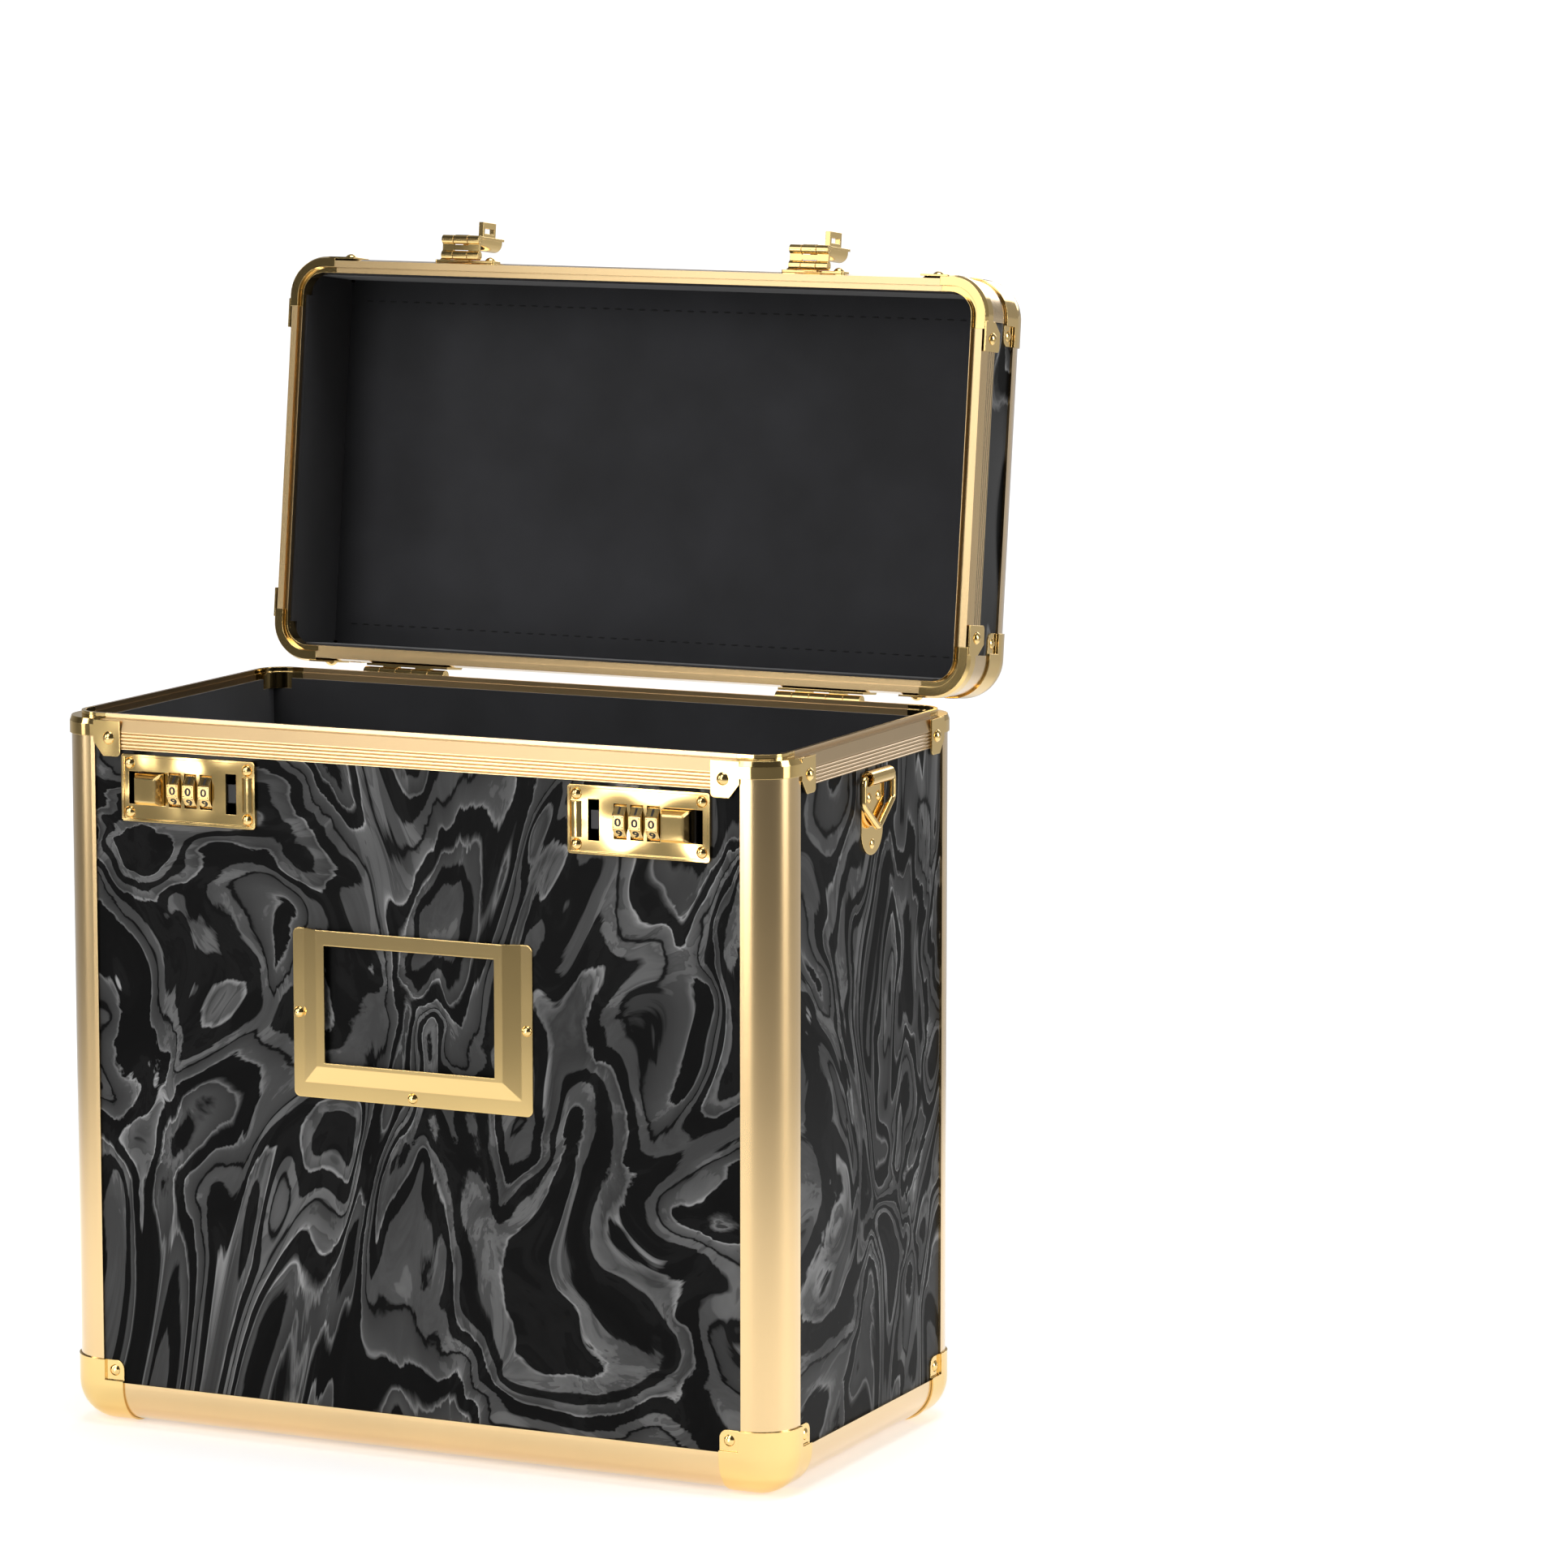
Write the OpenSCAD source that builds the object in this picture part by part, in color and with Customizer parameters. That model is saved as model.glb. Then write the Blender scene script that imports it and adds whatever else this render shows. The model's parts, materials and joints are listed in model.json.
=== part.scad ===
// Carrying case for long-playing records: black panels in golden aluminium edge
// profiles, a lid on two rear hinges, two three-wheel hasp locks, a folding top
// handle, two strap rings and a card holder on the front.
// Origin: centre of the footprint, on the floor. +Z up, the locks face -Y.

/* [Case] */
// Width of the case across the profiles' outer faces
case_w = 368; // [344:1:420]
// Depth of the case across the profiles' outer faces
case_d = 195; // [150:1:260]
// Height of the base from the floor to the mating plane
base_h = 332; // [290:1:380]
// Height of the lid from its mating plane to the top of its profiles
lid_h = 55; // [52:1:90]
// Angle that the lid is drawn open at
lid_open = 97; // [80:1:110]
// Gap between base and lid when shut
split_gap = 0.3; // [0.2:0.1:0.6]

/* [Edge profiles] */
// Radius of the quarter-round outer face
edge_r = 18; // [14:0.5:22]
// Flat flange beside the quarter round
edge_flange = 2; // [1.5:0.5:4]
// Outer lip over the panel's edge
lip_t = 1.2; // [0.8:0.1:1.6]
// Depth that a panel sits in its groove
groove_depth = 4; // [3:0.5:6]

/* [Panels] */
// Thickness of the board panels
panel_t = 4.6; // [3:0.2:6]
// Thickness of the lining
lining_t = 1; // [0.8:0.1:1.5]

/* [Rim] */
// Height of a rim rail
rim_h = 13.5; // [12:0.5:18]
// Height of the smooth band beside the mating plane
rim_smooth = 5.5; // [4:0.5:7]
// How far the smooth band slopes inwards
rim_slope = 1; // [0.5:0.1:1.2]
// Number of grooves in the ribbed band
rib_count = 5; // [3:1:6]
// Width of a rib groove
rib_w = 0.8; // [0.4:0.1:1]
// Height of the tongue on the base's rim
tongue_h = 2.2; // [1:0.1:3]
// Thickness of the tongue
tongue_t = 1.8; // [1.2:0.1:2.2]
// Side clearance of the tongue in its groove
tongue_gap = 0.4; // [0.3:0.05:0.6]
// Distance of the tongue from the rim's inner face
tongue_in = 0.6; // [0.5:0.1:1]

/* [Corner pieces] */
// Reach of a corner cap along each edge
cap_reach = 30.5; // [28:0.5:34]
// How far a cap stands proud of the profiles
cap_proud = 1; // [0.8:0.1:1.5]
// Sheet thickness of the corner pieces
sheet_t = 0.9; // [0.6:0.1:1.2]
// Height of the bent strip of a rim bracket
strip_h = 8; // [6:0.5:9]
// Where the strip ends and the rail starts, from the corner
strip_reach = 23.7; // [22:0.1:26]
// Reach of a bracket's riveted tab from the corner
tab_reach = 34; // [32:0.5:38]
// Height of a bracket's tab
tab_h = 16.8; // [15:0.2:20]
// Slanted cut of a bracket's tab beside the post
tab_cut = 5; // [2:0.5:8]

/* [Rivets] */
// Radius of a large rivet head
rivet_r = 3; // [2.4:0.1:3.4]
// Height of a large rivet head
rivet_h = 1.8; // [1:0.1:2.4]
// Radius of a corner cap's rivet head
cap_rivet_r = 2.7; // [2:0.1:3]
// Height of a corner cap's rivet head
cap_rivet_h = 1.1; // [0.8:0.1:1.2]

/* [Locks] */
// Distance of each lock's slot from the side of the case
slot_from_side = 91.7; // [91:0.1:110]
// Width of a lock plate
plate_w = 70; // [69:0.5:76]
// Height of a lock plate
plate_h = 31; // [30:0.5:36]
// Distance of the plate's top edge below the rim
plate_drop = 1.7; // [1:0.1:6]
// Slot centre from the plate's inner end
slot_inset = 12.7; // [12.5:0.1:14]
// Width of the hasp slot
slot_w = 5.5; // [5:0.1:6]
// Height of the hasp slot
slot_h = 18.5; // [18:0.5:20]
// Radius of a number wheel across its corners
wheel_r = 9.2; // [8.8:0.1:9.6]
// Width of a number wheel
wheel_w = 5.8; // [5:0.1:6.2]
// Distance from one wheel to the next
wheel_pitch = 8.2; // [7.6:0.1:8.6]
// How far the wheels stand out of the plate
wheel_out = 2.9; // [2.4:0.1:3.2]
// First wheel's distance from the slot
wheel_from_slot = 13.1; // [12.6:0.1:13.6]
// Radius of the wheels' axle
axle_r = 1.5; // [1:0.1:2]
// Distance from the last wheel to the slide button
button_after_wheels = 2.4; // [2:0.1:3]
// Width of the slide button
button_w = 13.7; // [12:0.1:14]
// Height of the slide button
button_h = 14.5; // [12:0.1:15]
// How far the button stands out of the plate
button_out = 6.5; // [4:0.5:8]
// Travel of the button
button_travel = 4.8; // [4.6:0.1:5]
// Thickness of the bolt plate behind the lock plate
bolt_t = 1.8; // [1.4:0.1:2]
// Height of the bolt's nose in the slot
nose_h = 8.5; // [7:0.1:9]

/* [Hasps] */
// Length of a hasp's barrels
hasp_w = 20; // [18:0.5:22]
// Width of the hasp plate on the lid
hasp_plate_w = 32; // [30:0.5:36]
// Height of the hasp plate
hasp_plate_h = 8; // [7.5:0.1:9]
// Radius of the hasp's barrels
hasp_barrel_r = 2.2; // [2:0.1:2.4]
// Radius of the hasp's pins
hasp_pin_r = 1.1; // [0.9:0.05:1.2]
// Distance of the barrels' axes in front of the rim
hasp_out = 3.3; // [3.2:0.1:3.6]
// Height of the upper barrel's axis above the mating plane
hasp_up = 2; // [1.6:0.1:2.4]
// Distance between the two barrels
hasp_link = 7.5; // [7:0.1:8.5]
// Thickness of the hasp's sheet
hasp_t = 1.2; // [1:0.1:1.4]
// Width of the leaf's half-round bar
hasp_bar_w = 9; // [7:0.5:10]
// Depth of the leaf's half-round bar
hasp_bar_out = 5.5; // [4.6:0.5:6]
// Distance from the lower barrel down to the leaf's end
leaf_reach = 34; // [32:0.5:34]
// Thickness of the staple
staple_t = 2.5; // [2:0.1:2.8]
// Height of the staple
staple_h = 13; // [12.6:0.1:13.6]
// How far the staple reaches behind the lock plate's face
staple_in = 6.6; // [6:0.1:7]

/* [Handle] */
// Distance of each handle bracket from the middle
handle_x = 67; // [60:0.5:74]
// Width of a handle bracket
hbracket_w = 48; // [44:0.5:52]
// Gap between the two ears of a bracket
ear_gap = 23; // [22.5:0.5:26]
// Length of a bracket's foot along the lid
hbracket_foot = 26; // [24:0.5:30]
// Radius of the hollow in the back of an ear
ear_hollow_r = 15; // [12:0.5:18]
// Height of the handle's pin above the lid
pin_up = 14; // [13.5:0.5:16]
// Distance of the handle's pin in front of the middle of the lid
pin_front = 11; // [6:0.5:16]
// Radius of the handle's pins
hpin_r = 2; // [1.5:0.1:2.5]
// Width of a handle arm at its pin
arm_w = 22; // [18:0.5:22]
// Height of the handle above its pins
handle_h = 62; // [56:1:80]
// Outer corner radius of the handle
handle_r = 25; // [20:1:30]
// Thickness of the handle's outer rail
rail_t = 6.5; // [5:0.5:8]
// Depth of the handle's outer rail
rail_d = 15; // [12:0.5:16]
// Length of the soft grip
grip_w = 97; // [90:1:97]
// Height of the soft grip
grip_h = 19; // [14:0.5:22]
// Depth of the soft grip
grip_d = 18; // [16:0.5:20]

/* [Strap rings] */
// Diameter of the ring's wire
wire_d = 3.3; // [2.6:0.1:3.6]
// Outer width of the ring
ring_w = 35; // [32:0.5:40]
// Length of the ring's straight sides
ring_side = 7; // [4:0.5:10]
// Bend radius of the ring
ring_bend = 3; // [2.4:0.1:3.5]
// Width of the ring's bracket
ring_bracket_w = 23; // [20:0.5:24]
// Outer radius of the bracket's barrel
ring_barrel_r = 3.5; // [3.2:0.1:4]
// Sheet thickness of the ring's bracket
ring_sheet = 0.7; // [0.6:0.05:0.75]
// Length of the bracket's back layer below the barrel
ring_back_len = 36; // [34:0.5:40]
// Length of the bracket's front layer below the barrel
ring_front_len = 23; // [18:0.5:24]

/* [Card holder] */
// Width of the card holder
card_w = 122; // [100:1:140]
// Height of the card holder
card_h = 78; // [70:1:90]
// Width of its window
window_w = 87; // [70:1:92]
// Height of its window
window_h = 54; // [45:1:56]
// Distance of its top edge below the rim
card_drop = 76; // [60:1:110]
// Height of its raised tray
tray_out = 4; // [3:0.1:5]
// Width of the tray's slope
tray_slope = 8; // [4:0.5:9]
// Width of the flange at each side of the tray
tray_flange = 5.5; // [5.5:0.5:8]
// Height of the flange below the tray
tray_foot = 7; // [6:0.5:9]
// Sheet thickness of the card holder
card_t = 0.8; // [0.6:0.1:1]
// Radius of its rivet heads
card_rivet_r = 2.5; // [2:0.1:2.7]

/* [Hinges] */
// Distance of each hinge from the side of the case
hinge_from_side = 74; // [64:1:100]
// Width of a hinge
hinge_w = 44; // [36:1:60]
// Height of a hinge leaf from the mating plane
hinge_leaf_h = 28; // [24:0.5:30]
// Distance of the hinge axis behind the case
hinge_back = 4.8; // [4.6:0.1:5.5]
// Radius of the hinge knuckles
knuckle_r = 3.2; // [2.8:0.1:3.3]
// Radius of the hinge pins
hinge_pin_r = 1.5; // [1:0.1:1.8]
// Number of knuckles of a hinge
knuckles = 5; // [3:2:7]

/* [Hidden] */
$fn = 48;
GOLD = [0.80, 0.66, 0.40];
POLISHED = [0.90, 0.74, 0.38];
BLACK = [0.10, 0.10, 0.11];
CLOTH = [0.05, 0.05, 0.055];
GREY = [0.35, 0.35, 0.36];

cut = 1;                                  // overshoot of a cutting body
fit = 0.06;                               // radial running clearance of a pin
gap = 0.3;                                // working gap between moving pieces
left = -1;
right = 1;

edge_w = edge_r + edge_flange;            // face width of an edge profile
inner_lip = lip_t + panel_t + lip_t;      // depth of a profile's inner lip
foot = cap_proud;                         // the case stands on its corner caps
panel_in = edge_w - groove_depth;         // a panel's edge from the case's edge
rim_z = base_h - rim_h;                   // bottom of the base's rim
lid_z = base_h + split_gap;               // mating plane of the shut lid
lid_top = lid_z + lid_h;
front_y = -case_d / 2;
back_y = case_d / 2;
lining_in = inner_lip + lining_t;
// Size of the cube cut from the lining in each corner, which clears the round corner cap.
lining_cut = edge_r - sqrt(max(0, edge_r * edge_r - 2 * pow(edge_r - inner_lip, 2))) + gap;
rim_groove_z = rim_h - groove_depth;      // a panel's edge from the mating plane
lining_drop = 3;                          // the lining's edge from the mating plane
cap_gap = 0.1;
tab_corner_r = 4;

hinge_x = case_w / 2 - hinge_from_side;
hinge_y = back_y + hinge_back;
hinge_z = base_h + split_gap / 2;

slot_x = case_w / 2 - slot_from_side;
plate_top = rim_z - plate_drop;
lock_z = plate_top - plate_h / 2;
plate_end = plate_w - slot_inset;         // the plate's outer end from the slot
wheel_depth = wheel_r - wheel_out;        // the axle's depth behind the plate's face
wheel_window_w = wheel_w + 2 * gap;
wheel_window_h = 2 * (sqrt(wheel_r * wheel_r - pow(wheel_depth - lip_t, 2)) + gap);
button_from = wheel_from_slot + 2 * wheel_pitch + wheel_w / 2 + button_after_wheels;
button_window_end = button_from + button_w + button_travel + gap;
bolt_y = lip_t + gap;
bolt_half_h = plate_h / 2 - 3.5;
bolt_window_h = wheel_r + 0.1;            // half height of the bolt's wheel window
housing_from = -slot_inset + 5.5;
housing_to = plate_end - 1.5;
housing_half_h = bolt_half_h + 1.2;
housing_wall = 1;
housing_depth = wheel_depth + wheel_r + 0.5 + housing_wall;
axle_from = 5.5;
axle_rib_w = 3;
axle_to = wheel_from_slot + 2 * wheel_pitch + wheel_pitch / 2 + gap + axle_rib_w;

hasp_a = lid_z + hasp_up;                 // height of the upper barrel
hasp_b = hasp_a - hasp_link;              // height of the lower barrel
hasp_y = front_y - hasp_out;
knuckle_gap = 0.3;
hasp_mid_w = 0.4 * hasp_w;                // width of the middle knuckle
notch_r = hasp_barrel_r + 0.4;
bead_h = 0.6;                             // raised border of a lock plate
leaf_back = bead_h + gap;                 // the shut leaf's gap to the lock plate
leaf_w = 11;
bar_len = 24;

lid_face = lid_top - lip_t;               // outer face of the lid's top panel
pin_z = lid_face + pin_up;
pin_y = -pin_front;

ring_z = rim_z - ring_barrel_r - 1;
ring_out = case_w / 2 - lip_t + ring_barrel_r;
ring_slant = atan(4 / 3);                 // the slanted sides go 4 inwards for 3 down
card_z = rim_z - card_drop - card_h;

// ------------------------------------------------------------ placing helpers

// Everything on the lid is drawn shut and swung open about the hinge.
module lid_pose() {
    translate([0, hinge_y, hinge_z])
        rotate([-lid_open, 0, 0])
            translate([0, -hinge_y, -hinge_z]) children();
}

// The four upright edges: the corner at the origin, +X and +Y into the case.
module each_edge() {
    for (sx = [0, 1], sy = [0, 1])
        mirror([sx, 0, 0]) mirror([0, sy, 0])
            translate([-case_w / 2, -case_d / 2, 0]) children();
}

// A profile along all four sides: its X points inwards and its Y upwards.
module four_sides(cut_back) {
    for (sy = [0, 1]) mirror([0, sy, 0])
        translate([0, front_y, 0]) rotate([90, 0, 90])
            linear_extrude(case_w - 2 * cut_back, center = true) children();
    for (sx = [0, 1]) mirror([sx, 0, 0])
        translate([-case_w / 2, 0, 0]) rotate([90, 0, 0])
            linear_extrude(case_d - 2 * cut_back, center = true) children();
}

// Turns the three faces of a corner into each other.
module each_face_of_corner() {
    children();
    rotate([90, 0, 90]) children();
    rotate([90, 0, 90]) rotate([90, 0, 90]) children();
}

module both_hinges() {
    for (s = [left, right]) translate([s * hinge_x, hinge_y, hinge_z]) children();
}

// A lock's own frame: slot at the origin, +X to the plate's outer end, +Y inwards.
module at_lock(side) {
    mirror([side == left ? 1 : 0, 0, 0])
        translate([slot_x, front_y, lock_z]) children();
}

module at_hasps() {
    for (s = [left, right]) translate([s * slot_x, 0, 0]) children();
}

// A side face's own frame: +X out of the case.
module at_side(side) {
    mirror([side == left ? 1 : 0, 0, 0]) children();
}

module box(from, to) {
    translate(from) cube(to - from);
}

module along_x(length, r) {
    rotate([0, 90, 0]) cylinder(h = length, r = r, center = true);
}

module rounded_square(size, r) {
    translate([r, 0]) square([size[0] - 2 * r, size[1]]);
    translate([0, r]) square([size[0], size[1] - 2 * r]);
    for (x = [r, size[0] - r], y = [r, size[1] - r]) translate([x, y]) circle(r = r);
}

// A domed rivet head on the plane z = 0, pointing up.
module rivet(r, h) {
    dome_r = (r * r + h * h) / (2 * h);
    rotate_extrude() intersection() {
        translate([0, h - dome_r]) circle(r = dome_r);
        square([r + cut, h]);
    }
}

// ------------------------------------------------------------------- profiles

// Quarter-round edge profile: the case's corner at the origin, the case to +X +Y.
module edge_profile() {
    difference() {
        union() {
            intersection() {
                translate([edge_r, edge_r]) circle(r = edge_r);
                square(edge_r);
            }
            translate([edge_r, 0]) square([edge_flange, inner_lip]);
            translate([0, edge_r]) square([inner_lip, edge_flange]);
        }
        translate([inner_lip, inner_lip]) square(edge_w);
        translate([panel_in, lip_t]) square([edge_w, panel_t]);
        translate([lip_t, panel_in]) square([panel_t, edge_w]);
    }
}

// Cross-section of a rim rail: outer face at x = 0, mating plane at y = 0.
module rim_profile(is_base) {
    rib_pitch = (rim_h - rim_smooth) / rib_count;
    difference() {
        union() {
            polygon([[0, -rim_h], [inner_lip, -rim_h], [inner_lip, 0], [rim_slope, 0], [0, -rim_smooth]]);
            if (is_base) tongue();
        }
        translate([lip_t, -rim_h - cut]) square([panel_t, groove_depth + cut]);
        for (i = [0 : rib_count - 1])
            translate([0, -rim_h + (i + 0.5) * rib_pitch]) rotate(45)
                square(rib_w / sqrt(2), center = true);
        if (!is_base) tongue_groove();
    }
}

module tongue() {
    translate([inner_lip - tongue_in - tongue_t, 0]) square([tongue_t, tongue_h]);
}

module tongue_groove() {
    translate([inner_lip - tongue_in - tongue_t - tongue_gap, -tongue_h - tongue_gap])
        square([tongue_t + 2 * tongue_gap, tongue_h + tongue_gap + cut]);
}

// Cross-section of the bent strip of a rim bracket, in the same frame.
module strip_profile(is_base) {
    shoulder = 2.5;
    difference() {
        union() {
            polygon([[-sheet_t, -strip_h], [inner_lip, -strip_h], [inner_lip, 0], [0, 0],
                     [-sheet_t, -shoulder]]);
            if (is_base) tongue();
        }
        if (!is_base) tongue_groove();
    }
}

// One rim bracket on the mating plane z = 0, below it: strip, legs and two tabs.
module rim_bracket(is_base) {
    translate([edge_r, edge_r, 0]) rotate([0, 0, 180])
        rotate_extrude(angle = 90) translate([edge_r, 0]) mirror([1, 0]) strip_profile(is_base);
    bracket_leg(is_base);
    mirror([1, -1, 0]) bracket_leg(is_base);
}

module bracket_leg(is_base) {
    tab_top = -gap;
    translate([edge_r, 0, 0]) rotate([90, 0, 90])
        linear_extrude(strip_reach - edge_r) strip_profile(is_base);
    box([edge_w, 0, -rim_groove_z], [strip_reach, inner_lip, -strip_h]);
    rotate([90, 0, 0]) linear_extrude(sheet_t) difference() {
        polygon([[edge_w, tab_top], [tab_reach, tab_top], [tab_reach, -tab_h],
                 [edge_w + tab_cut, -tab_h], [edge_w, -strip_h - tab_cut / 2]]);
        // rounded lower corner
        translate([tab_reach - tab_corner_r / 2, -tab_h + tab_corner_r / 2]) difference() {
            translate([0, -tab_corner_r]) square(tab_corner_r);
            circle(r = tab_corner_r / 2);
        }
    }
}

module tab_rivets() {
    x = (edge_w + tab_reach) / 2 + 1;
    for (swap = [0, 1]) mirror([swap, -swap, 0])
        translate([x, -sheet_t, -tab_h / 2]) rotate([90, 0, 0]) rivet(rivet_r, rivet_h);
}

// One three-way corner cap: the profiles' corner at the origin, the case to +++.
module corner_cap() {
    translate([edge_r, edge_r, edge_r])
        mirror([1, 0, 0]) mirror([0, 1, 0]) mirror([0, 0, 1])
            rotate_extrude(angle = 90) cap_ring();
    each_face_of_corner() {
        translate([edge_r, edge_r, edge_r]) rotate([0, 0, 180])
            linear_extrude(cap_reach - edge_r) cap_ring();
        cap_face();
    }
}

module cap_ring() {
    intersection() {
        difference() {
            circle(r = edge_r + cap_proud);
            circle(r = edge_r + cap_gap);
        }
        square(edge_r + cap_proud + cut);
    }
}

// The flat part on the face z = 0, stepped down to a riveted tab on the panel.
module cap_face() {
    step = edge_w + sheet_t;
    translate([0, 0, -cap_proud]) linear_extrude(cap_proud - cap_gap) difference() {
        translate([edge_r, edge_r]) square(cap_reach - edge_r);
        translate([step, step]) square(cap_reach);
    }
    translate([0, 0, -cap_gap]) linear_extrude(cap_gap + lip_t - sheet_t) difference() {
        translate([edge_w, edge_w]) square(cap_reach - edge_w);
        translate([step, step]) square(cap_reach);
    }
    translate([0, 0, lip_t - sheet_t]) linear_extrude(sheet_t) difference() {
        translate([edge_w, edge_w]) square(cap_reach - edge_w);
        translate([cap_reach - tab_corner_r, cap_reach - tab_corner_r]) difference() {
            square(2 * tab_corner_r);
            circle(r = tab_corner_r);
        }
    }
}

module cap_rivets() {
    middle = (edge_w + sheet_t + cap_reach) / 2;
    each_face_of_corner()
        translate([middle, middle, lip_t - sheet_t]) rotate([180, 0, 0])
            rivet(cap_rivet_r, cap_rivet_h);
}

// ----------------------------------------------------------------------- base

module base_front_panel() {
    color(BLACK) difference() {
        box([-case_w / 2 + panel_in, front_y + lip_t, foot + panel_in],
            [case_w / 2 - panel_in, front_y + lip_t + panel_t, base_h - rim_groove_z]);
        for (s = [left, right]) at_lock(s) housing_hole();
    }
}

module housing_hole() {
    box([housing_from, 0, -housing_half_h], [housing_to, housing_depth, housing_half_h]);
}

module base_back_panel() {
    color(BLACK)
        box([-case_w / 2 + panel_in, back_y - lip_t - panel_t, foot + panel_in],
            [case_w / 2 - panel_in, back_y - lip_t, base_h - rim_groove_z]);
}

module base_side_panel(side) {
    color(BLACK) at_side(side)
        box([case_w / 2 - lip_t - panel_t, front_y + panel_in, foot + panel_in],
            [case_w / 2 - lip_t, back_y - panel_in, base_h - rim_groove_z]);
}

module base_floor_panel() {
    color(BLACK)
        box([-case_w / 2 + panel_in, front_y + panel_in, foot + lip_t],
            [case_w / 2 - panel_in, back_y - panel_in, foot + lip_t + panel_t]);
}

module base_corner_posts() {
    color(GOLD) each_edge()
        translate([0, 0, foot + edge_w]) linear_extrude(base_h - strip_h - foot - edge_w) edge_profile();
}

module base_bottom_rails() {
    color(GOLD) translate([0, 0, foot]) four_sides(edge_w) edge_profile();
}

module base_rim_rails() {
    color(GOLD) translate([0, 0, base_h]) four_sides(strip_reach) rim_profile(true);
}

module base_rim_brackets() {
    color(POLISHED) each_edge() translate([0, 0, base_h]) rim_bracket(true);
}

module base_corner_caps() {
    color(POLISHED) each_edge() translate([0, 0, foot]) corner_cap();
}

// Lining boards between two heights, their ends cut back from the case's corners.
module lining_walls(z0, z1, cut_back) {
    for (sy = [0, 1]) mirror([0, sy, 0])
        box([-case_w / 2 + cut_back, front_y + inner_lip, z0],
            [case_w / 2 - cut_back, front_y + lining_in, z1]);
    for (sx = [0, 1]) mirror([sx, 0, 0])
        box([-case_w / 2 + inner_lip, front_y + max(cut_back, lining_in), z0],
            [-case_w / 2 + lining_in, back_y - max(cut_back, lining_in), z1]);
}

module lining_sheet(z) {
    box([-case_w / 2 + inner_lip, front_y + inner_lip, z],
        [case_w / 2 - inner_lip, back_y - inner_lip, z + lining_t]);
}

module base_lining() {
    color(CLOTH) difference() {
        union() {
            lining_sheet(foot + inner_lip);
            lining_walls(foot + lining_in, base_h - strip_h, inner_lip);
            lining_walls(base_h - strip_h, base_h - lining_drop, edge_r);
        }
        for (s = [left, right]) at_lock(s) housing_hole();
        each_edge() translate([0, 0, foot]) cube(lining_cut);
    }
}

module base_rivets() {
    color(POLISHED) {
        each_edge() {
            translate([0, 0, base_h]) tab_rivets();
            translate([0, 0, foot]) cap_rivets();
        }
        for (s = [left, right]) at_lock(s) plate_rivets();
        card_rivets();
        for (s = [left, right]) at_side(s) ring_rivets();
        both_hinges() leaf_rivets();
    }
}

// ---------------------------------------------------------------- card holder

module card_holder() {
    corner_r = 3;
    top_border = 7;
    color(POLISHED) translate([0, front_y + lip_t, card_z]) rotate([90, 0, 0]) difference() {
        union() {
            linear_extrude(card_t) translate([-card_w / 2, 0]) rounded_square([card_w, card_h], corner_r);
            card_tray(0);
        }
        card_tray(card_t);
        // window through the tray
        translate([-window_w / 2, card_h - window_h - top_border, -cut])
            cube([window_w, window_h, tray_out + 2 * cut]);
        // the tray is open at the top edge
        translate([-card_w, card_h, -cut]) cube([2 * card_w, card_h, tray_out + 2 * cut]);
    }
}

// The tray's outer form, or with an inset the hollow under it.
module card_tray(inset) {
    low_w = card_w - 2 * tray_flange - 2 * inset;
    low_y = tray_foot + inset;
    top_w = low_w - 2 * tray_slope;
    hull() {
        translate([-low_w / 2, low_y, -inset]) cube([low_w, card_h, card_t]);
        translate([-top_w / 2, low_y + tray_slope, tray_out - card_t - inset]) cube([top_w, card_h, card_t]);
    }
}

module card_rivets() {
    side_x = card_w / 2 - tray_flange / 2;
    spots = [[-side_x, card_h / 2], [side_x, card_h / 2], [0, tray_foot / 2]];
    for (p = spots)
        translate([p[0], front_y + lip_t - card_t, card_z + p[1]]) rotate([90, 0, 0])
            rivet(card_rivet_r, rivet_h);
}

// ---------------------------------------------------------------------- locks

module lock_plate(side) {
    bead = 1.2;
    ridge_r = 3.4;
    ridge_sunk = 2;
    ridge_x = -slot_inset + 4;
    ridge_h = 0.52 * plate_h;
    color(POLISHED) at_lock(side) difference() {
        union() {
            translate([-slot_inset, lip_t, -plate_h / 2]) rotate([90, 0, 0]) {
                linear_extrude(lip_t) rounded_square([plate_w, plate_h], 1.5);
                linear_extrude(lip_t + bead_h) difference() {
                    rounded_square([plate_w, plate_h], 1.5);
                    translate([bead, bead]) square([plate_w - 2 * bead, plate_h - 2 * bead]);
                }
            }
            // raised ridge at the inner end
            translate([ridge_x, ridge_sunk, 0]) intersection() {
                cylinder(h = ridge_h, r = ridge_r, center = true);
                translate([-ridge_r, -ridge_sunk - ridge_r, -plate_h])
                    cube([2 * ridge_r, ridge_r + 1, 2 * plate_h]);
            }
        }
        box([-slot_w / 2, -cut, -slot_h / 2], [slot_w / 2, lip_t + cut, slot_h / 2]);
        for (i = [0 : 2])
            translate([wheel_from_slot + i * wheel_pitch, 0, 0])
                box([-wheel_window_w / 2, -cut, -wheel_window_h / 2],
                    [wheel_window_w / 2, lip_t + cut, wheel_window_h / 2]);
        box([button_from - gap, -cut, -button_h / 2 - gap],
            [button_window_end, lip_t + cut, button_h / 2 + gap]);
    }
}

module plate_rivets() {
    edge = 4.2;
    for (x = [-slot_inset + edge, plate_end - edge], z = [-1, 1])
        translate([x, 0, z * (plate_h / 2 - edge)]) rotate([90, 0, 0]) rivet(cap_rivet_r, rivet_h);
}

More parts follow.
